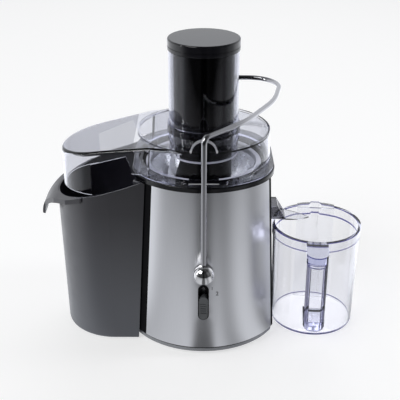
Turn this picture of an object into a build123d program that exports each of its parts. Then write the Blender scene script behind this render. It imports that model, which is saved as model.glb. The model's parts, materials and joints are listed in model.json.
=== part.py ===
from build123d import *
import os
from math import cos, radians, sin, atan2, degrees

# Centrifugal juicer with a side pulp container and a juice jug, standing on one surface.
# Millimetres, +Z up. The parts are drawn about the motor axis, with the controls facing -Y, the pulp
# container at -X and the jug at +X. export() then moves them by FRAME_SHIFT_Y, so that the origin is
# the centre of the whole footprint, at the height of the surface that it stands on.

# ---- base: a tapered round body with two flat sides -------------------------------------------------
BASE_Z0 = 12.0
BASE_Z1 = 209.0
BASE_R_BOTTOM = 98.0
BASE_R_TOP = 92.0
BASE_HALF_BOTTOM = 84.8
BASE_HALF_TOP = 75.5
BASE_WALL = 3.0
PANEL_T = 1.0
PANEL_LEFT_BOTTOM = -68.5
PANEL_LEFT_TOP = -57.5
PANEL_EDGE_GAP = 2.4
PLATE_Z0 = 5.0
RING_TOP = 214.6
RING_R = 93.2
RING_HALF = 81.2
RING_CORNER = 60.0
RING_BORE = 79.0
LEDGE_Z = 211.0
BOSS_R = 5.0
BOSS_AT = 90.5
BOSS_TOP = 40.0
SCREW_R = 1.6
FOOT_R = 9.0
FOOT_X = 58.0
FOOT_Y = 52.0

# ---- juice bowl and its spout -----------------------------------------------------------------------
DECK_Z0 = 134.0
BOWL_Z0 = 138.0
BOWL_R = 73.0
BOWL_WALL = 2.2
BOWL_FLANGE_R = 78.5
BOWL_TOP = 214.3
HUB_BORE = 15.0
HUB_TOP = 150.0
SPOUT_HALF = 13.0
SPOUT_TOP = 155.0
SPOUT_TIP_LOW = 98.5
SPOUT_TIP_HIGH = 88.5
TONGUE_TIP = 128.0
TONGUE_TIP_Z = 133.4

# ---- lid: drum, feed tube and pulp cover ------------------------------------------------------------
LID_GAP = 0.3
LID_Z0 = RING_TOP + LID_GAP
LID_TOP = 249.0
LID_R_BOTTOM = 78.0
LID_R_TOP = 76.5
LID_WALL = 2.2
FLANGE_T = 2.2
FLANGE_INSET = 1.3
TUBE_R = 40.0
TUBE_BORE = 37.7
TUBE_TOP = 342.5
TUBE_BOTTOM = 221.0
COVER_X = -115.0
COVER_R = 50.0
COVER_END_Z = 229.0
SKIRT_X = -127.0
SKIRT_Z = 186.0
ARCH_R = 15.0

# ---- pusher -----------------------------------------------------------------------------------------
PUSHER_R = 33.0
PUSHER_BOTTOM = 168.0
PUSHER_FIN_R = 37.2
CAP_R = 41.0
CAP_TOP = 356.0
CAP_Z0 = TUBE_TOP + 0.5

# ---- motor, drive and filter basket -----------------------------------------------------------------
SHAFT_R = 4.0
BEARING_BORE = 4.05
BEARING_R = 11.0
COUPLING_R = 11.0
COUPLING_TOP = 160.0
BASKET_R0 = 38.0
BASKET_R1 = 63.0
BASKET_Z0 = 160.0
BASKET_Z1 = 205.0
BASKET_T = 0.9
GRATER_R = 35.0

# ---- locking arm ------------------------------------------------------------------------------------
ARM_R = 3.0
ARM_Z = 279.0
ARM_FRONT_Y = -108.0
ARM_REAR_Y = 99.0
KNOB_R = 12.3
KNOB_Z = 117.0
ARM_FOOT_Z = 152.0
BRACKET_R = 8.0
PIVOT_BORE = 3.05

# ---- speed slider -----------------------------------------------------------------------------------
SLOT_W = 12.5
SLOT_Z0 = 49.5
SLOT_Z1 = 95.2
SLIDER_W = 10.2
SLIDER_L = 29.6
PANEL_LEAN = degrees(atan2(BASE_R_BOTTOM - BASE_R_TOP, BASE_Z1 - BASE_Z0))

# ---- pulp container ---------------------------------------------------------------------------------
BIN_X = -107.0
BIN_R_BOTTOM = 62.5
BIN_R_TOP = 66.0
BIN_DRAFT_H = 175.0
BIN_WALL = 2.2
BIN_GAP = 1.5
BIN_INNER_TOP = 178.0

# ---- jug --------------------------------------------------------------------------------------------
JUG_X = 136.9
JUG_Y = -6.0
JUG_R_BOTTOM = 50.3
JUG_R_TOP = 52.5
JUG_H = 130.0
JUG_WALL = 2.2
JUG_BAND = 1.0
HANDLE_TURN = -5.5
HANDLE_HALF = 12.5
HANDLE_REACH = 90.0
SEPARATOR_Y = 38.0
SEPARATOR_HALF = 23.0

# The ball knob is the front of the object and the arm bracket is its back.
FRAME_SHIFT_Y = (KNOB_R - ARM_FRONT_Y - ARM_REAR_Y - BRACKET_R) / 2


# ---- helpers ----------------------------------------------------------------------------------------
def disc(radius, z0, z1, x=0.0, y=0.0):
    """Upright cylinder between two heights."""
    return Pos(x, y, z0) * Cylinder(radius, z1 - z0, align=(Align.CENTER, Align.CENTER, Align.MIN))


def cone(r0, r1, z0, z1, x=0.0, y=0.0):
    """Upright cone frustum from radius r0 at z0 to r1 at z1."""
    return Pos(x, y, z0) * Cone(r0, r1, z1 - z0, align=(Align.CENTER, Align.CENTER, Align.MIN))


def ring(outer, inner, z0, z1, x=0.0, y=0.0):
    """Upright ring of rectangular section."""
    return disc(outer, z0, z1, x, y) - disc(inner, z0 - 1, z1 + 1, x, y)


def block(x0, x1, y0, y1, z0, z1):
    """Box between two corners."""
    return Pos((x0 + x1) / 2, (y0 + y1) / 2, (z0 + z1) / 2) * Box(x1 - x0, y1 - y0, z1 - z0)


def side_prism(*points, half=150.0):
    """Prism along Y whose outline is given as (x, z) points."""
    return extrude(Plane.XZ * make_face(Polyline(*points, close=True)), amount=half, both=True)


def base_size(z, at_bottom, at_top):
    """A base dimension at height z, on its straight taper."""
    return at_bottom + (at_top - at_bottom) * (z - BASE_Z0) / (BASE_Z1 - BASE_Z0)


def base_form(inset, z0, z1):
    """The base's tapered round form with flat sides, smaller by inset, between two heights."""
    r0 = base_size(z0, BASE_R_BOTTOM, BASE_R_TOP) - inset
    r1 = base_size(z1, BASE_R_BOTTOM, BASE_R_TOP) - inset
    w0 = base_size(z0, BASE_HALF_BOTTOM, BASE_HALF_TOP) - inset
    w1 = base_size(z1, BASE_HALF_BOTTOM, BASE_HALF_TOP) - inset
    return cone(r0, r1, z0, z1) & side_prism((-w0, z0), (w0, z0), (w1, z1), (-w1, z1))


def upright_slot(width, z0, z1, y0, y1):
    """Round-ended slot form, upright on the front, leaning with the panel."""
    outline = Pos(0, (z0 + z1) / 2) * SlotOverall(z1 - z0, width, rotation=90)
    form = extrude(Plane.XZ.offset(-y0) * outline, amount=y0 - y1)
    middle = Pos(0, -96.2, (SLOT_Z0 + SLOT_Z1) / 2)
    return middle * Rot(-PANEL_LEAN, 0, 0) * middle.inverse() * form


def export(part, name):
    """Write one node, in the object's frame."""
    export_step(Pos(0, FRAME_SHIFT_Y, 0) * part, f"parts/{name}.step")


# ---- base -------------------------------------------------------------------------------------------
def panel_blank():
    """The front sheet before its slot is cut."""
    w0 = BASE_HALF_BOTTOM - PANEL_EDGE_GAP
    w1 = BASE_HALF_TOP - PANEL_EDGE_GAP
    skin = base_form(0, BASE_Z0, BASE_Z1) - base_form(PANEL_T, BASE_Z0, BASE_Z1)
    span = side_prism((PANEL_LEFT_BOTTOM, BASE_Z0), (w0, BASE_Z0), (w1, BASE_Z1), (PANEL_LEFT_TOP, BASE_Z1))
    return skin & span & block(-120, 120, -120, 0, BASE_Z0, BASE_Z1)


def front_panel():
    """Steel sheet wrapped round the front."""
    return panel_blank() - upright_slot(SLOT_W, SLOT_Z0, SLOT_Z1, -110, -80)


def screw_places():
    """Centres of the four base screws and their bosses."""
    return [(sx * BOSS_AT * 0.5, sy * BOSS_AT * cos(radians(30))) for sx in (-1, 1) for sy in (-1, 1)]


def base_housing():
    """Moulded shell of the base, open at the bottom and the top."""
    shell = base_form(0, BASE_Z0, BASE_Z1) - base_form(BASE_WALL, BASE_Z0, BASE_Z1) - panel_blank()
    for x, y in screw_places():
        shell += disc(BOSS_R, BASE_Z0, BOSS_TOP, x, y)
        shell -= disc(SCREW_R, BASE_Z0 - 1, BOSS_TOP - 8, x, y)
    shell -= upright_slot(SLOT_W, SLOT_Z0, SLOT_Z1, -110, -80)
    shell -= block(60, 100, -SPOUT_HALF - 0.4, SPOUT_HALF + 0.4, BOWL_Z0, SPOUT_TOP + 0.4)
    shell -= disc(BOWL_R + 0.4, BOWL_Z0, BASE_Z1 + 1)
    inlet = Pos(30, 90, 28) * Rot(90, 0, 0) * Cylinder(7.0, 40)
    return shell - inlet


def base_plate():
    """Bottom cover with vents, screw holes and seats for the feet."""
    plate = base_form(2.5, PLATE_Z0, BASE_Z0)
    for x, y in screw_places():
        plate -= disc(SCREW_R, 0, 20, x, y)
        plate -= disc(3.6, 0, PLATE_Z0 + 3, x, y)
    for i in range(7):
        x = 9.0 * (i - 3)
        plate -= block(x - 2, x + 2, 18, 62, 0, 20)
    return plate


def base_screws():
    """Four pan-head screws that hold the plate to the housing."""
    group = []
    for x, y in screw_places():
        group.append(disc(SCREW_R, PLATE_Z0 + 3, BOSS_TOP - 9, x, y) + disc(3.4, PLATE_Z0 + 0.6, PLATE_Z0 + 3, x, y))
    return Compound(group)


def rubber_feet():
    """Four rubber feet under the plate."""
    return Compound([cone(FOOT_R, FOOT_R + 1.5, 0, PLATE_Z0, sx * FOOT_X, sy * FOOT_Y)
                     for sx in (-1, 1) for sy in (-1, 1)])


def collar_form(inset, z0, z1):
    """The collar's outline, smaller by inset, between two heights: round, with blended flat sides."""
    half = RING_HALF - inset
    outline = Circle(RING_R - inset) & Rectangle(2 * half, 2 * RING_R)
    outline = fillet(outline.vertices(), RING_CORNER)
    return Pos(0, 0, z0) * extrude(outline, z1 - z0)


def top_ring():
    """Black collar round the top of the base, which carries the bowl and the lid."""
    body = collar_form(0, BASE_Z1, RING_TOP)
    body = fillet(body.edges().group_by(Axis.Z)[-1], 1.0)
    body -= disc(RING_BORE, LEDGE_Z, RING_TOP + 1)
    return body - disc(BOWL_R + 0.3, BASE_Z1 - 1, RING_TOP)


def cord_inlet():
    """Grommet in the rear wall where the mains cord enters."""
    grommet = Cylinder(6.9, 12) + Pos(0, 0, -6) * Cylinder(9.0, 2.4)
    return Pos(30, 91.4, 28) * Rot(90, 0, 0) * (grommet - Cylinder(3.6, 40))


# ---- controls ---------------------------------------------------------------------------------------
def slot_bezel():
    """Black lining of the slider's slot, with a slit for the slider's stem."""
    cup = upright_slot(SLOT_W - 0.1, SLOT_Z0 + 0.05, SLOT_Z1 - 0.05, -96.4, -86.5)
    cup -= upright_slot(SLOT_W - 1.5, SLOT_Z0 + 0.75, SLOT_Z1 - 0.75, -98, -88.5)
    return cup - upright_slot(4.0, SLOT_Z0 + 8, SLOT_Z1 - 7, -90, -84)


def speed_slider():
    """Thumb slider, at the bottom of its slot when off."""
    low = SLOT_Z0 + 1.1
    body = upright_slot(SLIDER_W, low, low + SLIDER_L, -97.6, -89.0)
    for i in range(5):
        z = low + SLIDER_L / 2 + 3.0 * (i - 2)
        body -= block(-3.5, 3.5, -99, -97.1, z - 0.5, z + 0.5)
    return body + upright_slot(2.8, low + 10, low + 18, -89.5, -84.4)


def speed_switch():
    """Sliding speed switch behind the slot."""
    return block(-7.5, 7.5, -83.0, -70.0, 50.0, 94.0) + block(-3.0, 3.0, -70.0, -66.0, 56.0, 88.0)


def knob_catch():
    """Small cup on the panel that the arm's ball knob rests in."""
    r_here = base_size(KNOB_Z, BASE_R_BOTTOM, BASE_R_TOP)
    cup = Pos(0, -r_here, KNOB_Z) * Rot(90, 0, 0) * Cylinder(6.0, 5.0)
    cup -= base_form(0, KNOB_Z - 10, KNOB_Z + 10)
    return cup - Pos(0, ARM_FRONT_Y, KNOB_Z) * Sphere(KNOB_R + 0.35)


# ---- bowl -------------------------------------------------------------------------------------------
def spout_form(half, z0, z1, extra):
    """Straight duct with a slanting end, from inside the bowl outwards."""
    outline = side_prism((60, z0), (SPOUT_TIP_LOW + extra, z0), (SPOUT_TIP_HIGH + extra, z1), (60, z1))
    return outline & block(0, 120, -half, half, z0, z1)


def spout_tongue():
    """Pointed sheet that leads the juice from the duct's floor to the middle of the jug."""
    sheet = side_prism((SPOUT_TIP_HIGH, BOWL_Z0), (TONGUE_TIP, TONGUE_TIP_Z), (TONGUE_TIP, TONGUE_TIP_Z + 1.2),
                       (SPOUT_TIP_HIGH, BOWL_Z0 + 1.8))
    right = ThreePointArc((SPOUT_TIP_HIGH, -SPOUT_HALF), (113, -9), (TONGUE_TIP, 0))
    left = ThreePointArc((TONGUE_TIP, 0), (113, 9), (SPOUT_TIP_HIGH, SPOUT_HALF))
    root = Line((SPOUT_TIP_HIGH, SPOUT_HALF), (SPOUT_TIP_HIGH, -SPOUT_HALF))
    return sheet & Pos(0, 0, TONGUE_TIP_Z - 2) * extrude(make_face(right + left + root), 12)


def juice_bowl():
    """Bowl round the spinning basket, with its pouring spout."""
    bowl = disc(BOWL_R, BOWL_Z0, BOWL_TOP) + disc(BOWL_FLANGE_R, LEDGE_Z, BOWL_TOP)
    bowl += spout_form(SPOUT_HALF, BOWL_Z0, SPOUT_TOP, 0)
    bowl -= disc(BOWL_R - BOWL_WALL, BOWL_Z0 + 2.5, BOWL_TOP + 1)
    bowl += disc(HUB_BORE + 2.2, BOWL_Z0, HUB_TOP)
    bowl -= disc(HUB_BORE, BOWL_Z0 - 1, HUB_TOP + 1)
    return bowl - spout_form(SPOUT_HALF - 2, BOWL_Z0 + 2.5, SPOUT_TOP - 2, 10) + spout_tongue()


def bowl_deck():
    """Deck inside the housing that the bowl stands on."""
    return base_form(BASE_WALL, DECK_Z0, BOWL_Z0) - disc(HUB_BORE, DECK_Z0 - 1, BOWL_Z0 + 1)


# ---- motor ------------------------------------------------------------------------------------------
def motor_frame():
    """Lower motor bridge with two uprights, on the base plate."""
    frame = block(-54, 54, -14, 14, BASE_Z0, 26)
    for side in (-1, 1):
        frame += block(side * 50 - 4, side * 50 + 4, -14, 14, BASE_Z0, 100)
    frame -= disc(BEARING_R, 18, 30)
    return frame - disc(6, 0, 30)


def motor_bridge():
    """Upper motor bridge that holds the top bearing."""
    return block(-54, 54, -14, 14, 100, 110) + disc(18, 100, 110) - disc(BEARING_R, 102, 112) - disc(6, 90, 112)


def bearing(z0):
    """Plain ring bearing on the motor shaft."""
    return ring(BEARING_R, BEARING_BORE, z0, z0 + 8)


def stator():
    """Field core and its two coils, clamped between the uprights."""
    core = ring(46, 27, 40, 84) & block(-46, 46, -38, 38, 30, 100)
    for side in (-1, 1):
        core += block(-18, 18, side * 33 - 4, side * 33 + 4, 34, 92)
    return core


def armature():
    """Laminated rotor with its commutator."""
    body = disc(25.5, 44, 82) + disc(13, 30, 40) + disc(9, 40, 44)
    for i in range(12):
        turn = Rot(0, 0, 30 * i)
        body -= turn * block(23.5, 27, -0.8, 0.8, 43, 83)
    return body - disc(SHAFT_R, 20, 100)


def motor_shaft():
    """Steel shaft from the lower bearing to the coupling."""
    return disc(SHAFT_R, 18.5, COUPLING_TOP - 2)


def cooling_fan():
    """Radial fan under the deck."""
    fan = disc(36, 114, 115.6) + disc(9, 114, 126)
    for i in range(10):
        fan += Rot(0, 0, 36 * i) * block(8, 35, -0.7, 0.7, 115, 125)
    return fan - disc(SHAFT_R, 100, 130)


def drive_coupling():
    """Splined coupling that the filter basket drops onto."""
    body = disc(COUPLING_R, 141, COUPLING_TOP)
    for i in range(6):
        body -= Rot(0, 0, 60 * i) * block(9.4, 12, -1.5, 1.5, 152, 161)
    return body - disc(SHAFT_R, 130, COUPLING_TOP - 2)


def filter_basket():
    """Steel strainer: floor, conical wall and a hub over the coupling."""
    slope_t = BASKET_T * 1.1
    wall = cone(BASKET_R0, BASKET_R1, BASKET_Z0, BASKET_Z1)
    wall -= cone(BASKET_R0 - slope_t, BASKET_R1 - slope_t, BASKET_Z0, BASKET_Z1)
    return wall + disc(BASKET_R0 - slope_t / 2, BASKET_Z0, BASKET_Z0 + 1.5) + ring(14.0, COUPLING_R, 152, BASKET_Z0)


def basket_rim():
    """Moulded rim round the top of the basket."""
    rim = ring(67.5, BASKET_R1 - 1.6, BASKET_Z1, BASKET_Z1 + 6.5)
    return fillet(rim.edges().group_by(Axis.Z)[-1], 1.2)


def grater_disc():
    """Grating disc with rings of small teeth on the basket floor."""
    z = BASKET_Z0 + 1.5
    disc_top = z + 1.2
    body = disc(GRATER_R, z, disc_top)
    for row, count in ((10, 8), (17, 14), (24, 20), (31, 26)):
        for i in range(count):
            tooth = block(row - 1.3, row + 1.3, -0.4, 0.4, disc_top - 0.3, disc_top + 1.5)
            body += Rot(0, 0, 360 * i / count + row) * tooth
    return body + cone(7, 4, disc_top - 0.3, disc_top + 3.0)


# ---- lid --------------------------------------------------------------------------------------------
def cover_outline(inset):
    """Plan outline round the drum and the rounded end of the pulp cover."""
    rounds = Circle(LID_R_TOP - inset).edges() + (Pos(COVER_X, 0) * Circle(COVER_R - inset)).edges()
    return make_hull(rounds)


def cover_form(inset, drop):
    """Solid form of the pulp cover: its top slopes down from the drum to the far end."""
    end_x = COVER_X - COVER_R - 10
    outline = Pos(0, 0, SKIRT_Z) * extrude(cover_outline(inset), LID_TOP + 10 - SKIRT_Z)
    return outline & side_prism((end_x, SKIRT_Z), (90, SKIRT_Z), (90, LID_TOP - drop), (-62, LID_TOP - drop),
                                (-114, 240 - drop), (end_x, COVER_END_Z - 1 - drop))


def pulp_cover():
    """Clear cover over the pulp container, with a deep skirt at its far end."""
    outer = cover_form(0, 0)
    top_edges = outer.edges().filter_by(lambda e: e.center().Z > COVER_END_Z - 3)
    outer = fillet(top_edges, 4.0)
    shell = outer - cover_form(LID_WALL, LID_WALL)
    floor_z = LID_Z0 + FLANGE_T - 0.2
    shell -= side_prism((SKIRT_X, SKIRT_Z - 1), (SKIRT_X, 223), (-86, 237), (-81.5, 226), (-80, floor_z),
                        (90, floor_z), (90, SKIRT_Z - 1))
    return shell - disc(LID_R_TOP - 1, SKIRT_Z, LID_TOP + 1)


def front_arch():
    """Upright half-round plate with a thick rim, at the front of the lid's top."""
    web = Cylinder(ARCH_R, 1.2)
    rim = Cylinder(ARCH_R, 4.0) - Cylinder(ARCH_R - 1.8, 5.0)
    arch = Pos(0, -LID_R_TOP + 2.0, LID_TOP - 0.5) * Rot(90, 0, 0) * (web + rim)
    return arch & block(-20, 20, -90, -60, LID_TOP - 0.5, LID_TOP + 20)


def lid():
    """One clear moulding: flange, drum, feed tube, pulp cover, front arch and front tab."""
    flange_top = LID_Z0 + FLANGE_T
    inside = LID_R_BOTTOM - LID_WALL
    body = collar_form(FLANGE_INSET, LID_Z0, flange_top) + cone(LID_R_BOTTOM, LID_R_TOP, LID_Z0, LID_TOP)
    body -= cone(inside, LID_R_TOP - LID_WALL, LID_Z0, LID_TOP - LID_WALL)
    body -= block(-90, -40, -46, 46, flange_top, LID_TOP - 3.2)
    body += pulp_cover()
    body += ring(LID_R_TOP, LID_R_TOP - 2.4, LID_TOP - 1, LID_TOP + 1.6)
    body += disc(TUBE_R, TUBE_BOTTOM, TUBE_TOP) + cone(TUBE_R + 2.6, TUBE_R + 1.6, LID_TOP - 1, LID_TOP + 9)
    body -= disc(TUBE_BORE, TUBE_BOTTOM - 1, TUBE_TOP + 1)
    return body + front_arch() + block(-16.5, 16.5, -90.5, -77, flange_top - 0.5, flange_top + 2.0)


# ---- pusher -----------------------------------------------------------------------------------------
def pusher_body():
    """Hollow plunger with three guide fins."""
    body = disc(PUSHER_R, PUSHER_BOTTOM, CAP_Z0)
    body = fillet(body.edges().group_by(Axis.Z)[0], 2.0)
    body -= disc(PUSHER_R - 2.2, PUSHER_BOTTOM + 3, CAP_Z0 + 1)
    for i in range(3):
        body += Rot(0, 0, 90 + 120 * i) * block(PUSHER_R - 1, PUSHER_FIN_R, -0.9, 0.9, 236, CAP_Z0)
    return body


def pusher_cap():
    """Cap of the plunger, which stops on the feed tube's rim."""
    cap = disc(CAP_R, CAP_Z0, CAP_TOP)
    cap = fillet(cap.edges().group_by(Axis.Z)[-1], 1.6)
    cap = fillet(cap.edges().group_by(Axis.Z)[0], 0.8)
    return cap - ring(CAP_R + 2, CAP_R - 0.7, CAP_Z0 + 4.2, CAP_Z0 + 5.0)


# ---- locking arm ------------------------------------------------------------------------------------
def locking_arm():
    """Bent rod: upright in the rear bracket, round the right of the feed tube, down the front."""
    path = FilletPolyline(
        (0, ARM_FRONT_Y, KNOB_Z + 6),
        (0, ARM_FRONT_Y, ARM_Z),
        (46, -58, ARM_Z),
        (82, 12, ARM_Z),
        (98, 98, ARM_Z),
        (0, ARM_REAR_Y, ARM_Z),
        (0, ARM_REAR_Y, ARM_FOOT_Z),
        radius=[7, 150, 150, 36, 8],
    )
    section = Plane(path @ 0, z_dir=path % 0) * Circle(ARM_R)
    return sweep(section, path)


def ball_knob():
    """Polished ball on the arm's front end."""
    ball = Pos(0, ARM_FRONT_Y, KNOB_Z) * Sphere(KNOB_R)
    return ball - disc(ARM_R, KNOB_Z + 6, KNOB_Z + 20, 0, ARM_FRONT_Y)


def arm_collar():
    """Collar on the arm that rests on the bracket."""
    return ring(5.5, ARM_R, 222.6, 228, 0, ARM_REAR_Y)


def arm_bracket():
    """Rear bracket that the arm turns in."""
    boss = disc(BRACKET_R, 158, 222, 0, ARM_REAR_Y) + block(-BRACKET_R, BRACKET_R, 84, ARM_REAR_Y, 158, 222)
    boss -= base_form(0, 140, BASE_Z1)
    boss -= disc(RING_R + 0.7, BASE_Z1, 240)
    return boss - disc(PIVOT_BORE, 150, 230, 0, ARM_REAR_Y)


# ---- pulp container ---------------------------------------------------------------------------------
def bin_outline(radius):
    """Plan outline of the container before the base is cut out of it."""
    straight = Pos((BIN_X - 40) / 2, 0) * Rectangle(-40 - BIN_X, 2 * radius)
    return Pos(BIN_X, 0) * Circle(radius) + straight


def bin_form(inset, z0, z1):
    """The container's tapered form, smaller by inset, between two heights."""
    slope = (BIN_R_TOP - BIN_R_BOTTOM) / BIN_DRAFT_H
    low = bin_outline(BIN_R_BOTTOM + slope * z0 - inset)
    return Pos(0, 0, z0) * extrude(low, z1 - z0, taper=-degrees(atan2(slope, 1)))


def base_clearance(gap):
    """The base and its collar, grown by gap, from the floor to above the container."""
    collar = disc(RING_R + gap, BASE_Z1 - 1, 240) & block(-RING_HALF - gap, 0, -110, 110, 0, 240)
    return base_form(-gap, 0, BASE_Z1) + collar


def rim_cut():
    """Everything above the container's falling rim."""
    return side_prism((-40, 218), (-62, 210.8), (-72, 208), (-91, 201), (-116, 193.4), (-142, 185.7),
                      (-170, 176.4), (-200, 174), (-200, 260), (-40, 260))


def bin_lip():
    """Beak on the container's outer end: a grip that curls outwards and down."""
    rim_upper = Polyline((-138, 186.9), (-142, 185.7), (-168, 177.1))
    upper = ThreePointArc((-168, 177.1), (-184.5, 166.5), (-192.2, 144.5))
    lower = ThreePointArc((-189.2, 144), (-181.8, 162.5), (-168, 171.5))
    rim_lower = Polyline((-168, 171.5), (-142, 180), (-138, 181.2))
    ends = Line((-192.2, 144.5), (-189.2, 144)) + Line((-138, 181.2), (-138, 186.9))
    sheet = extrude(Plane.XZ * make_face(rim_upper + upper + lower + rim_lower + ends), amount=60, both=True)
    plan = make_face(Polyline((-138, -61), (-158, -51), (-174, -34), (-189, -11), (-200, -7), (-200, 7), (-189, 11),
                              (-174, 34), (-158, 51), (-138, 61), close=True))
    return sheet & Pos(0, 0, 100) * extrude(plan, 120)


def pulp_container():
    """Tall bin beside the base, hollow, with its rim falling away from the base."""
    outer = bin_form(0, 0, 220)
    outer = fillet(outer.edges().group_by(Axis.Z)[0], 4.0) - base_clearance(BIN_GAP)
    inner = bin_form(BIN_WALL, BIN_WALL, 230) - base_clearance(BIN_GAP + BIN_WALL)
    body = outer - inner - rim_cut()
    body -= block(-120, -60, -50, 50, BIN_INNER_TOP, 240)
    return body + (bin_lip() - inner)


# ---- jug --------------------------------------------------------------------------------------------
def jug_radius(z):
    """Outer radius of the jug at height z."""
    return JUG_R_BOTTOM + (JUG_R_TOP - JUG_R_BOTTOM) * z / JUG_H


def lip_form(z1, inset):
    """Pouring lip at the back of the jug, widening upwards out of the wall."""
    low = make_face(Polyline((-7, 40), (7, 40), (3, 50 - inset), (-3, 50 - inset), close=True))
    half = 15 - inset
    tip = 59 - inset
    high = make_face(Polyline((-half, 40), (half, 40), (5, tip), (-5, tip), close=True))
    return loft([Plane.XY.offset(88) * low, Plane.XY.offset(z1) * high])


def juice_jug():
    """Clear jug with a rim band, a pouring lip and a channelled handle facing the user."""
    body = cone(jug_radius(0), jug_radius(JUG_H), 0, JUG_H)
    body = fillet(body.edges().group_by(Axis.Z)[0], 3.0)
    body += cone(jug_radius(117) + JUG_BAND, jug_radius(JUG_H) + JUG_BAND, 117, JUG_H)
    hollow = cone(jug_radius(3) - JUG_WALL, jug_radius(JUG_H) - JUG_WALL, 3, JUG_H + 0.5)
    body += Rot(0, 0, 180) * jug_handle()
    body += lip_form(JUG_H, 0)
    body = body - hollow - lip_form(JUG_H + 0.5, JUG_WALL)
    return Pos(JUG_X, JUG_Y, 0) * Rot(0, 0, HANDLE_TURN) * body


def jug_handle():
    """Handle drawn at +Y of the jug's axis: an upright grip with an outer groove."""
    end = HANDLE_REACH - HANDLE_HALF
    plan = Pos(0, end / 2) * Rectangle(2 * HANDLE_HALF, end) + Pos(0, end) * Circle(HANDLE_HALF)
    grip = Pos(0, 0, 29) * extrude(plan, JUG_H - 29)
    grip = fillet(grip.edges().group_by(Axis.Z)[0].sort_by(Axis.Y)[-1:], 6.0)
    grip -= block(-20, 20, 30, HANDLE_REACH - 9, 41, JUG_H - 12)
    grip -= block(-7, 7, HANDLE_REACH - 5, HANDLE_REACH + 5, 20, JUG_H - 14)
    return grip - disc(jug_radius(60) - 4, 0, JUG_H + 10)


def froth_separator():
    """Clear plate in front of the pouring lip that holds back the froth; its top covers the rim there."""
    y = SEPARATOR_Y
    plate = block(-SEPARATOR_HALF, SEPARATOR_HALF, y - 0.9, y + 0.9, 3.3, JUG_H + 0.5)
    cover = disc(jug_radius(JUG_H) + JUG_BAND, JUG_H + 0.3, JUG_H + 1.5)
    cover &= block(-SEPARATOR_HALF, SEPARATOR_HALF, y - 0.9, 60, JUG_H, JUG_H + 2)
    return Pos(JUG_X, JUG_Y, 0) * Rot(0, 0, HANDLE_TURN) * (plate + cover)


NODES = {
    "front_panel": front_panel,
    "base_housing": base_housing,
    "base_plate": base_plate,
    "base_screws": base_screws,
    "rubber_feet": rubber_feet,
    "top_ring": top_ring,
    "cord_inlet": cord_inlet,
    "slot_bezel": slot_bezel,
    "speed_slider": speed_slider,
    "speed_switch": speed_switch,
    "knob_catch": knob_catch,
    "juice_bowl": juice_bowl,
    "bowl_deck": bowl_deck,
    "motor_frame": motor_frame,
    "motor_bridge": motor_bridge,
    "lower_bearing": lambda: bearing(18),
    "upper_bearing": lambda: bearing(102),
    "stator": stator,
    "armature": armature,
    "motor_shaft": motor_shaft,
    "cooling_fan": cooling_fan,
    "drive_coupling": drive_coupling,
    "filter_basket": filter_basket,
    "basket_rim": basket_rim,
    "grater_disc": grater_disc,
    "lid": lid,
    "pusher_body": pusher_body,
    "pusher_cap": pusher_cap,
    "locking_arm": locking_arm,
    "ball_knob": ball_knob,
    "arm_collar": arm_collar,
    "arm_bracket": arm_bracket,
    "pulp_container": pulp_container,
    "juice_jug": juice_jug,
    "froth_separator": froth_separator,
}

os.makedirs("parts", exist_ok=True)
for node_name, build_node in NODES.items():
    export(build_node(), node_name)
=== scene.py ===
import json
import math

import bpy
from mathutils import Matrix, Vector


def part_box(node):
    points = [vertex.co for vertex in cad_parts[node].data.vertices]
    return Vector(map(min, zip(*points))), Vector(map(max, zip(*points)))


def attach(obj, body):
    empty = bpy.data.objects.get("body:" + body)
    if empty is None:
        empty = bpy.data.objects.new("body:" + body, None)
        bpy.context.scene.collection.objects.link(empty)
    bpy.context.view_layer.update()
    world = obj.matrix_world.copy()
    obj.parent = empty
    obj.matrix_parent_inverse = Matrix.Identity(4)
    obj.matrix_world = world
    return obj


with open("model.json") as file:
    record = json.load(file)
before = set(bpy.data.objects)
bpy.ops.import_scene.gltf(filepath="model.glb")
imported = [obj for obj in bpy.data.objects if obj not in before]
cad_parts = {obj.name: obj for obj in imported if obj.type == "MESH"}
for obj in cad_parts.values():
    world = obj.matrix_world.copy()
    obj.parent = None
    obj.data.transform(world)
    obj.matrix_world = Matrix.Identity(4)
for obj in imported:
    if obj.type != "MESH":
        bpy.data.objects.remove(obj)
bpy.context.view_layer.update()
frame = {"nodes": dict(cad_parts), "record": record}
NODES = frame["nodes"]


def middle(name):
    """The centre of a CAD node's box."""
    low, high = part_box(name)
    return (low + high) / 2


AXIS = middle("top_ring")

# ---- camera and stage sizes, in metres --------------------------------------------------------------
CAMERA_DISTANCE = 0.923
CAMERA_HEIGHT = 0.598
CAMERA_PITCH = math.radians(25.55)
CAMERA_ROLL = math.radians(0.1)
CAMERA_OFFSET_X = -0.0041
FOCAL_IN_WIDTHS = 2.125
SENSOR_MM = 36.0

FLOOR_SIZE = 60
FLOOR_GREY = 0.5
FLOOR_GLOW = 0.6
BACKDROP = 0.92

# What reflections see round the object: (degrees from the camera's side towards +X, strength).
SIDES = ((-180, 0.95), (-120, 0.95), (-76, 0.7), (-56, 0.36), (-30, 0.42), (-13, 0.46), (-6, 0.08),
         (6, 0.08), (13, 0.42), (27, 0.24), (44, 0.5), (54, 0.48), (68, 0.2), (90, 0.4), (120, 0.95),
         (180, 0.95))
COOL_WHITE = (0.94, 0.96, 1.0)
# How that strength changes: (from, to) of Y or of Z, then (from, to) of the strength. The floor's Y is a
# place in metres; the room's Y and Z are parts of a direction of length 1.
FLOOR_DEPTH = ((-0.88, -0.2), (0.08, 1.5))
ROOM_DEPTH = ((-0.75, 0.1), (0.12, 1.0))
ROOM_HEIGHT = ((0.5, 0.75), (1.0, 0.25))

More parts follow.
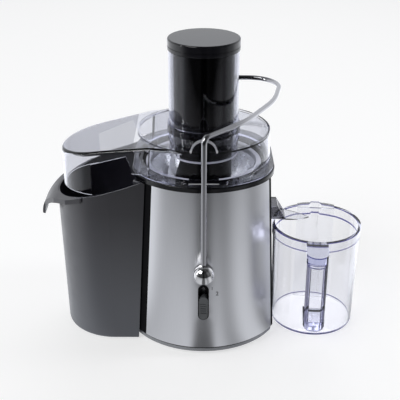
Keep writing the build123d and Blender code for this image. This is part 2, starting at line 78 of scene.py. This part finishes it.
# ---- places on the object, in metres ----------------------------------------------------------------
# The jug: from its own axis, turned with its handle. RIB_STRENGTH is how far a rib goes towards EDGE_TINT,
# the painted edge shade.
JUG_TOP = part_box("juice_jug")[1].z
JUG_TURN = math.radians(5.5)
JUG_AXIS = Vector((middle("juice_jug").x, AXIS.y - 0.006, 0))
JUG_SHIFT = -(Matrix.Rotation(JUG_TURN, 3, "Z") @ JUG_AXIS)
JUG_WALL_R = 0.0465
JUG_FOOT = (0.0004, 0.0034)
JUG_LINE = (JUG_TOP - 0.0137, JUG_TOP - 0.0127)
JUG_RIM = (JUG_TOP - 0.0014, JUG_TOP)
RIB_HEIGHTS = (0.04, JUG_TOP - 0.012)
RIB_INNER_X = 0.0068
RIB_BACK_Y = -0.0805
RIB_STRENGTH = 0.75

# The lid: heights are above the table, depths are in front of the motor axis. The feed tube stands up from
# TUBE_FOOT, and its lower end hangs in the drum to just under TUBE_END. Above TUBE_FOOT the tube gets
# painted shade. HIGHLIGHT_LOSS is what the pale places, which are painted highlights, lose of their
# transmission.
COVER_EDGE_X = -0.0785
TUBE_FOOT = 0.2525
TUBE_END = 0.2228
TUBE_R = 0.0402
ARCH_LEVEL = 0.2485
ARCH_CLEARANCE = 0.0005
ARCH_INNER_R = 0.0133
ARCH_HALF = 0.0153
ARCH_DEPTH = 0.0722
TAB_HALF = 0.0166
TAB_DEPTH = 0.0897
TAB_TOP = 0.2183
HIGHLIGHT_LOSS = 0.5

# The bowl's spout, where it is outside the base and gets painted shade.
SPOUT_MIDDLE = 0.0895
SPOUT_HALF = 0.009

# The height above which the grey plate gets painted shade, in the gap under the panel, and the height up to
# which the pulp container gets a painted floor reflection.
PLATE_SHADE_FROM = 0.0092
FLOOR_LIGHT_TOP = 0.17

# The front panel's cone: its radius at the foot, and how much smaller that is at the top.
PANEL_FOOT_R = 0.098
PANEL_TAPER = 0.006

# How level a face is, from 0 to 1, where it no longer counts as upright, and where it counts as level.
UPRIGHT_BELOW = 0.6
LEVEL_ABOVE = 0.5

# ---- colours of painted shade -----------------------------------------------------------------------
# Painted shade: violet along the clear jug's edges and handle ribs.
EDGE_TINT = (0.02, 0.018, 0.14)
# Painted shade on the pulp cover's level top and on the feed tube.
COVER_SHADE = (0.55, 0.555, 0.585)
# Painted shade on the spout's end outside the base.
SPOUT_SHADE = (0.3, 0.3, 0.33)
# Painted shade in the gap between the grey plate and the panel above it.
GAP_SHADE = (0.004, 0.004, 0.005)

# ---- fine surfaces: noise scales per metre, bump heights in metres ----------------------------------
MOTTLE_SCALE = 22
GLOSS_SCALE = 60
GRAIN_SCALE = 1400
GRAIN = 0.00002
FINE_GRAIN = 0.000006
RIPPLE_SCALE = 35
RIPPLE = 0.0002
RIPPLE_STRENGTH = 0.2
SMEAR_SCALE = 80
NOISE_RANGE = (0.3, 0.7)

# ---- numerals ---------------------------------------------------------------------------------------
# A numeral's height as a part of the font's size, then half the ink's thickness and the distance of its
# middle from the panel, in metres.
NUMERAL_HEIGHT = 0.7
INK_HALF = 0.00004
INK_LIFT = 0.00006


# ---- node builders ----------------------------------------------------------------------------------
class Graph:
    """A small builder for one node tree."""

    def __init__(self, tree):
        self.tree = tree

    def node(self, kind, **inputs):
        made = self.tree.nodes.new(kind)
        for key, value in inputs.items():
            made.inputs[key.replace("_", " ")].default_value = value
        return made

    def link(self, a, b):
        self.tree.links.new(a, b)

    def math(self, operation, *values):
        """The result of a sum on numbers or sockets."""
        made = self.node("ShaderNodeMath")
        made.operation = operation
        for socket, value in zip(made.inputs, values):
            if isinstance(value, float):
                socket.default_value = value
            else:
                self.link(value, socket)
        return made.outputs[0]

    def product(self, *values):
        """All the values multiplied: for masks, 1 where every one of them is 1."""
        total = values[0]
        for value in values[1:]:
            total = self.math("MULTIPLY", total, value)
        return total

    def split(self, vector):
        """The X, Y and Z sockets of a vector."""
        made = self.node("ShaderNodeSeparateXYZ")
        self.link(vector, made.inputs[0])
        return made.outputs

    def remap(self, value, source, target):
        """A number that goes through target as value goes through source, both given as (from, to)."""
        made = self.node("ShaderNodeMapRange", From_Min=source[0], From_Max=source[1], To_Min=target[0],
                         To_Max=target[1])
        self.link(value, made.inputs["Value"])
        return made.outputs["Result"]

    def mix(self, amount, first, second):
        """The first shader where amount is 0 and the second where it is 1."""
        made = self.node("ShaderNodeMixShader")
        for socket, value in zip(made.inputs, (amount, first, second)):
            self.link(value, socket)
        return made.outputs[0]

    def surroundings(self, vector):
        """The colour that reflections see in the direction of a vector, from SIDES."""
        x, y, _ = self.split(vector)
        angle = self.math("ARCTAN2", x, self.math("MULTIPLY", y, -1.0))
        ramp = self.node("ShaderNodeValToRGB")
        ramp.color_ramp.interpolation = "EASE"
        elements = ramp.color_ramp.elements
        while len(elements) < len(SIDES):
            elements.new(1.0)
        for element, (degrees, strength) in zip(elements, SIDES):
            element.position = 0.5 + degrees / 360
            element.color = (*(strength * c for c in COOL_WHITE), 1)
        self.link(self.remap(angle, (-math.pi, math.pi), (0.0, 1.0)), ramp.inputs["Fac"])
        return ramp.outputs["Color"]


class Mat(Graph):
    """A small builder for one node material."""

    NAMES = {"colour": "Base Color", "rough": "Roughness", "metal": "Metallic", "ior": "IOR",
             "specular": "Specular IOR Level", "transmission": "Transmission Weight"}

    def __init__(self, name, **values):
        self.mat = bpy.data.materials.new(name)
        self.mat.use_nodes = True
        super().__init__(self.mat.node_tree)
        self.bsdf = self.tree.nodes["Principled BSDF"]
        self.out = self.tree.nodes["Material Output"]
        for key, value in values.items():
            self.bsdf.inputs[self.NAMES[key]].default_value = (*value, 1.0) if key == "colour" else value

    def drive(self, key, value):
        """Let a socket set one of the values in NAMES."""
        self.link(value, self.bsdf.inputs[self.NAMES[key]])

    def coords(self, scale=(1, 1, 1), turn=(0, 0, 0), shift=(0, 0, 0)):
        """Object coordinates in metres, scaled, turned and shifted."""
        mapping = self.node("ShaderNodeMapping", Scale=scale, Rotation=turn, Location=shift)
        self.link(self.node("ShaderNodeTexCoord").outputs["Object"], mapping.inputs["Vector"])
        return mapping.outputs["Vector"]

    def tilt(self):
        """0 on an upright face, 1 on a level one."""
        return self.math("ABSOLUTE", self.split(self.node("ShaderNodeNewGeometry").outputs["Normal"])[2])

    def noise(self, vector, scale, detail=3.0):
        made = self.node("ShaderNodeTexNoise", Scale=scale, Detail=detail)
        self.link(vector, made.inputs["Vector"])
        return made.outputs["Fac"]

    def ramp(self, value, low, high, colour_low, colour_high):
        """A colour between two, as value goes from low to high."""
        made = self.node("ShaderNodeValToRGB")
        for element, place, colour in zip(made.color_ramp.elements, (low, high), (colour_low, colour_high)):
            element.position = place
            element.color = (*colour, 1)
        self.link(value, made.inputs["Fac"])
        return made.outputs["Color"]

    def blend(self, amount, colour_0, colour_1):
        """Set the colour: the first where amount is 0, the second where it is 1."""
        self.drive("colour", self.ramp(amount, 0.0, 1.0, colour_0, colour_1))

    def mottle(self, value, colour, vary):
        """Set a colour that is a little darker or lighter, as a noise value has it."""
        dark = tuple(c * (1 - vary) for c in colour)
        light = tuple(min(1.0, c * (1 + vary)) for c in colour)
        self.drive("colour", self.ramp(value, *NOISE_RANGE, dark, light))

    def span(self, value, low, high):
        """Set the roughness from low to high, as a noise value goes through NOISE_RANGE."""
        self.drive("rough", self.remap(value, NOISE_RANGE, (low, high)))

    def bump(self, height, distance, strength=1.0):
        made = self.node("ShaderNodeBump", Strength=strength, Distance=distance)
        self.link(height, made.inputs["Height"])
        self.link(made.outputs["Normal"], self.bsdf.inputs["Normal"])


# ---- camera -----------------------------------------------------------------------------------------
def make_camera():
    data = bpy.data.cameras.new("camera")
    data.sensor_width = SENSOR_MM
    data.lens = SENSOR_MM * FOCAL_IN_WIDTHS
    cam = bpy.data.objects.new("camera", data)
    bpy.context.scene.collection.objects.link(cam)
    place = Matrix.Translation((CAMERA_OFFSET_X, AXIS.y - CAMERA_DISTANCE, CAMERA_HEIGHT))
    tilt = Matrix.Rotation(math.pi / 2 - CAMERA_PITCH, 4, "X")
    roll = Matrix.Rotation(CAMERA_ROLL, 4, "Z")
    cam.matrix_world = place @ tilt @ roll
    bpy.context.scene.camera = cam


# ---- stage ------------------------------------------------------------------------------------------
def area_light(name, place, target, size, power):
    """A rectangular lamp that faces target: place, target and size in metres, power in watts."""
    data = bpy.data.lights.new(name, "AREA")
    data.shape = "RECTANGLE"
    data.size, data.size_y = size
    data.energy = power
    light = bpy.data.objects.new(name, data)
    bpy.context.scene.collection.objects.link(light)
    light.location = place
    light.rotation_euler = (Vector(target) - Vector(place)).to_track_quat("-Z", "Y").to_euler()
    return light


def floor_material():
    """Pale sweep that glows, so that shadows stay faint. In reflections its front is dark."""
    m = Mat("floor", colour=(FLOOR_GREY,) * 3, rough=0.95, specular=0.1)
    m.bsdf.inputs["Emission Color"].default_value = (1, 1, 1, 1)
    m.bsdf.inputs["Emission Strength"].default_value = FLOOR_GLOW
    place = m.node("ShaderNodeNewGeometry").outputs["Position"]
    card = m.node("ShaderNodeEmission")
    m.link(m.surroundings(place), card.inputs["Color"])
    m.link(m.remap(m.split(place)[1], *FLOOR_DEPTH), card.inputs["Strength"])
    mirrored = m.math("GREATER_THAN", m.node("ShaderNodeLightPath").outputs["Glossy Depth"], 0.5)
    m.link(m.mix(mirrored, m.bsdf.outputs[0], card.outputs[0]), m.out.inputs["Surface"])
    return m.mat


def make_world():
    """An even backdrop for the camera. Reflections see it dim in front and overhead, and bright behind."""
    world = bpy.data.worlds.new("studio")
    bpy.context.scene.world = world
    world.use_nodes = True
    g = Graph(world.node_tree)
    place = g.node("ShaderNodeTexCoord").outputs["Generated"]
    _, y, z = g.split(place)
    lit = g.tree.nodes["Background"]
    g.link(g.surroundings(place), lit.inputs["Color"])
    g.link(g.product(g.remap(y, *ROOM_DEPTH), g.remap(z, *ROOM_HEIGHT)), lit.inputs["Strength"])
    plain = g.node("ShaderNodeBackground", Color=(BACKDROP, BACKDROP, BACKDROP, 1))
    seen = g.node("ShaderNodeLightPath").outputs["Is Camera Ray"]
    g.link(g.mix(seen, lit.outputs[0], plain.outputs[0]), g.tree.nodes["World Output"].inputs["Surface"])


def make_stage():
    bpy.ops.mesh.primitive_plane_add(size=FLOOR_SIZE, location=(0, 0, 0))
    floor = bpy.context.object
    floor.name = "floor"
    floor.data.materials.append(floor_material())
    area_light("key", (-1.6, -1.5, 2.2), (0, 0, 0.15), (1.4, 1.4), 30)
    area_light("side_strip", (1.5, 0.0, 0.9), (0, 0, 0.25), (0.3, 1.3), 7).visible_glossy = False
    area_light("left_strip", (-1.5, -0.45, 0.7), (0, 0, 0.25), (0.1, 1.0), 3)
    area_light("back", (0.2, 1.9, 1.9), (0, 0, 0.2), (2.4, 1.0), 14).visible_glossy = False
    make_world()
    bpy.context.scene.view_settings.view_transform = "Standard"


# ---- opaque materials -------------------------------------------------------------------------------
def plastic(name, colour, rough, grain=GRAIN, vary=0.1, specular=0.5):
    """Moulded plastic: fine grain, slight unevenness of colour and gloss."""
    m = Mat(name, specular=specular)
    where = m.coords()
    m.mottle(m.noise(where, MOTTLE_SCALE), colour, vary)
    m.span(m.noise(where, GLOSS_SCALE), rough * 0.88, rough * 1.12)
    m.bump(m.noise(where, GRAIN_SCALE, 2), grain)
    return m.mat


def metal(name, colour, rough, stretch=(1, 1, 1), scale=300, bump=0.000004, vary=0.06, swing=0.25):
    """Metal whose fine lines run along the axis with the small stretch."""
    m = Mat(name, metal=1.0)
    lines = m.noise(m.coords(stretch), scale, 4)
    m.mottle(lines, colour, vary)
    m.span(lines, rough * (1 - swing), rough * (1 + swing))
    m.bump(lines, bump)
    return m.mat


def floor_lit_plastic(name, foot_colour, top_colour, rough, specular):
    """Moulded plastic that is paler near its foot, up to the height FLOOR_LIGHT_TOP: a painted reflection of
    the bright floor.
    """
    m = Mat(name, specular=specular)
    where = m.coords()
    height = m.split(where)[2]
    # Painted reflection: paler towards the foot, where the floor's light shows.
    m.blend(m.math("DIVIDE", height, FLOOR_LIGHT_TOP), foot_colour, top_colour)
    m.span(m.noise(where, GLOSS_SCALE), rough * 0.9, rough * 1.1)
    m.bump(m.noise(where, GRAIN_SCALE, 2), FINE_GRAIN)
    return m.mat


def gap_shaded_plastic(name, colour, rough):
    """Moulded plastic with painted shade above the height PLATE_SHADE_FROM, where it sits in the gap under
    the front panel.
    """
    m = Mat(name, rough=rough)
    where = m.coords()
    m.blend(m.math("GREATER_THAN", m.split(where)[2], PLATE_SHADE_FROM), colour, GAP_SHADE)
    m.bump(m.noise(where, GRAIN_SCALE, 2), GRAIN)
    return m.mat


def laminations(name):
    """Stacked sheet iron with enamelled copper showing between the sheets."""
    m = Mat(name, metal=0.6, rough=0.5)
    waves = m.node("ShaderNodeTexWave", Scale=160.0, Distortion=0.4)
    waves.bands_direction = "Z"
    m.link(m.coords(), waves.inputs["Vector"])
    m.drive("colour", m.ramp(waves.outputs["Fac"], 0.2, 0.8, (0.1, 0.085, 0.075), (0.26, 0.17, 0.12)))
    m.bump(waves.outputs["Fac"], 0.0001)
    return m.mat


def strainer(name):
    """Thin stainless sheet with many fine holes, shown as dark dimples."""
    m = Mat(name, metal=1.0)
    where = m.coords()
    cells = m.node("ShaderNodeTexVoronoi", Scale=520.0)
    m.link(where, cells.inputs["Vector"])
    m.drive("colour", m.ramp(cells.outputs["Distance"], 0.22, 0.34, (0.3, 0.3, 0.31), (0.8, 0.81, 0.83)))
    m.span(m.noise(where, 90), 0.24, 0.38)
    m.bump(cells.outputs["Distance"], 0.00008)
    return m.mat


# ---- clear materials --------------------------------------------------------------------------------
def height_bands(m, height, bands):
    """1 where the height is within one of the bands, given as (low, high) in metres."""
    total = 0.0
    for low, high in bands:
        total = m.math("MAXIMUM", total, m.math("COMPARE", height, (low + high) / 2, (high - low) / 2))
    return total


def squares(m, a, b):
    """The sum of two sockets' squares, to compare with a radius squared."""
    return m.math("ADD", m.math("MULTIPLY", a, a), m.math("MULTIPLY", b, b))


def jug_edge_shade(m, tint):
    """Painted edge shade: violet at the jug's foot, rim and line, and down both ribs of its handle, as thick
    clear plastic looks along its edges.
    """
    x, y, z = m.split(m.coords(turn=(0, 0, JUG_TURN), shift=JUG_SHIFT))
    upright = m.math("LESS_THAN", m.tilt(), UPRIGHT_BELOW)
    outside = m.math("GREATER_THAN", m.math("SQRT", squares(m, x, y)), JUG_WALL_R)
    edge = m.product(upright, outside, height_bands(m, z, (JUG_FOOT, JUG_LINE, JUG_RIM)))
    rib = m.product(
        m.math("GREATER_THAN", m.math("ABSOLUTE", x), RIB_INNER_X),
        m.math("LESS_THAN", y, RIB_BACK_Y),
        height_bands(m, z, (RIB_HEIGHTS,)),
        RIB_STRENGTH,
    )
    m.blend(m.math("MAXIMUM", edge, rib), tint, EDGE_TINT)


def lid_shade_and_highlights(m, tint):
    """Painted shade darkens the pulp cover's top and the feed tube. Painted highlights make the arch, the
    tab and the tube's foot paler.
    """
    x, y, z = m.split(m.coords())
    # Painted shade: the cover's level top and the tube above TUBE_FOOT are darker.
    cover = m.product(m.math("GREATER_THAN", m.tilt(), LEVEL_ABOVE), m.math("LESS_THAN", x, COVER_EDGE_X))
    m.blend(m.math("MAXIMUM", cover, m.math("GREATER_THAN", z, TUBE_FOOT)), tint, COVER_SHADE)
    # Painted highlights: the arch, the tab and the tube's foot lose transmission and look paler.
    sideways = m.math("MULTIPLY", x, x)
    rise = m.math("SUBTRACT", z, ARCH_LEVEL)
    arch = m.product(
        m.math("GREATER_THAN", squares(m, x, rise), ARCH_INNER_R ** 2),
        m.math("GREATER_THAN", rise, ARCH_CLEARANCE),
        m.math("LESS_THAN", y, AXIS.y - ARCH_DEPTH),
        m.math("LESS_THAN", sideways, ARCH_HALF ** 2),
    )
    tab = m.product(
        m.math("LESS_THAN", y, AXIS.y - TAB_DEPTH),
        m.math("GREATER_THAN", z, TAB_TOP),
        m.math("LESS_THAN", sideways, TAB_HALF ** 2),
    )
    foot = m.product(
        m.math("LESS_THAN", squares(m, x, m.math("SUBTRACT", y, AXIS.y)), TUBE_R ** 2),
        m.math("LESS_THAN", z, TUBE_END),
    )
    pale = m.math("MAXIMUM", m.math("MAXIMUM", arch, tab), foot)
    m.drive("transmission", m.math("SUBTRACT", 1.0, m.math("MULTIPLY", pale, HIGHLIGHT_LOSS)))


def spout_painted_shade(m, tint):
    """Painted shade: the spout's end outside the base is darker than the bowl."""
    x = m.split(m.coords())[0]
    m.blend(m.math("COMPARE", x, SPOUT_MIDDLE, SPOUT_HALF), tint, SPOUT_SHADE)


def clear_plastic(name, tint, rough, density, paint, deep=(0.36, 0.38, 0.68), lamp=(0.9, 0.9, 0.93)):
    """Clear moulding that bends light, turns to the colour deep along its walls, and lets lamps through.

    paint is a function that sets the tint by place, with painted shade; the lid's also paints highlights.
    """
    m = Mat(name, transmission=1.0, ior=1.46, specular=0.5)
    paint(m, tint)
    where = m.coords()
    m.bump(m.noise(where, RIPPLE_SCALE, 2), RIPPLE, RIPPLE_STRENGTH)
    m.span(m.noise(where, SMEAR_SCALE), rough * 0.5, rough * 1.6)
    shadow = m.node("ShaderNodeLightPath").outputs["Is Shadow Ray"]
    through = m.node("ShaderNodeBsdfTransparent", Color=(*lamp, 1))
    m.link(m.mix(shadow, m.bsdf.outputs[0], through.outputs[0]), m.out.inputs["Surface"])
    absorb = m.node("ShaderNodeVolumeAbsorption", Color=(*deep, 1), Density=density)
    m.link(absorb.outputs[0], m.out.inputs["Volume"])
    return m.mat


# ---- the finish of each material slot ---------------------------------------------------------------
FINISHES = {
    "brushed_steel_panel": lambda n: metal(n, (0.76, 0.765, 0.79), 0.3, stretch=(1, 1, 0.03), scale=1300,
                                           bump=0.0000008, vary=0.015, swing=0.08),
    "black_housing": lambda n: plastic(n, (0.003, 0.003, 0.004), 0.5, specular=0.06),
    "grey_plate": lambda n: gap_shaded_plastic(n, (0.25, 0.26, 0.28), 0.35),
    "zinc_steel": lambda n: metal(n, (0.6, 0.6, 0.6), 0.3),
    "rubber": lambda n: plastic(n, (0.012, 0.012, 0.012), 0.75, specular=0.3),
    "black_gloss": lambda n: plastic(n, (0.003, 0.003, 0.004), 0.12, grain=FINE_GRAIN, specular=0.4),
    "slider_grey": lambda n: plastic(n, (0.085, 0.09, 0.096), 0.42),
    "white_moulding": lambda n: plastic(n, (0.7, 0.71, 0.74), 0.4),
    "motor_aluminium": lambda n: metal(n, (0.55, 0.55, 0.56), 0.45, vary=0.1),
    "bronze": lambda n: metal(n, (0.55, 0.36, 0.16), 0.4, vary=0.12),
    "motor_iron": laminations,
    "basket_steel": strainer,
    "pusher_black": lambda n: plastic(n, (0.0006, 0.0005, 0.0007), 0.07, grain=0.000002, specular=0.15),
    "cap_black": lambda n: plastic(n, (0.006, 0.006, 0.008), 0.13, grain=FINE_GRAIN, specular=0.55),
    "chrome_rod": lambda n: metal(n, (0.44, 0.44, 0.46), 0.05, bump=0.000001, vary=0.02),
    "chrome_ball": lambda n: metal(n, (0.8, 0.8, 0.81), 0.04, bump=0.0000005, vary=0.01),
    "bin_grey": lambda n: floor_lit_plastic(n, (0.072, 0.078, 0.094), (0.014, 0.013, 0.019), 0.36, 0.85),
    "smoked_clear": lambda n: clear_plastic(n, (0.84, 0.845, 0.87), 0.02, 40.0, spout_painted_shade,
                                            deep=(0.45, 0.45, 0.5), lamp=(0.8, 0.8, 0.82)),
    "clear_lid": lambda n: clear_plastic(n, (0.88, 0.885, 0.9), 0.01, 36.0, lid_shade_and_highlights),
    "clear_jug": lambda n: clear_plastic(n, (0.99, 0.992, 0.995), 0.008, 26.0, jug_edge_shade),
}


def dress_nodes():
    """Give each CAD node its slot's material."""
    slots = {s["node"]: s["material_slot"] for s in frame["record"]["subparts"]}
    made = {}
    for name, ob in NODES.items():
        slot = slots[name]
        if slot not in made:
            made[slot] = FINISHES[slot](slot)
        ob.data.materials.clear()
        ob.data.materials.append(made[slot])


# ---- numerals ---------------------------------------------------------------------------------------
def numeral(text, height, x, z, ink):
    """A printed speed numeral that lies on the front panel, with its middle at x and z."""
    bpy.ops.object.text_add()
    ob = bpy.context.object
    ob.name = "numeral_" + text
    ob.data.body = text
    ob.data.align_x = "CENTER"
    ob.data.align_y = "CENTER"
    ob.data.size = height / NUMERAL_HEIGHT
    ob.data.extrude = INK_HALF
    bpy.ops.object.convert(target="MESH")
    low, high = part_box("front_panel")
    lean = PANEL_TAPER / (high.z - low.z)
    radius = PANEL_FOOT_R - lean * (z - low.z) + INK_LIFT
    turn = math.asin(x / radius)
    place = Matrix.Translation((x, AXIS.y - radius * math.cos(turn), z))
    upright = Matrix.Rotation(math.pi / 2 - math.atan(lean), 4, "X")
    ob.matrix_world = place @ Matrix.Rotation(turn, 4, "Z") @ upright
    ob.data.materials.clear()
    ob.data.materials.append(ink)
    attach(ob, "base")


def add_numerals():
    ink = plastic("panel_ink", (0.02, 0.02, 0.022), 0.5, vary=0.2)
    numeral("1", 0.0042, 0.0099, 0.0905, ink)
    numeral("2", 0.005, 0.0157, 0.0835, ink)


make_camera()
make_stage()
dress_nodes()
add_numerals()
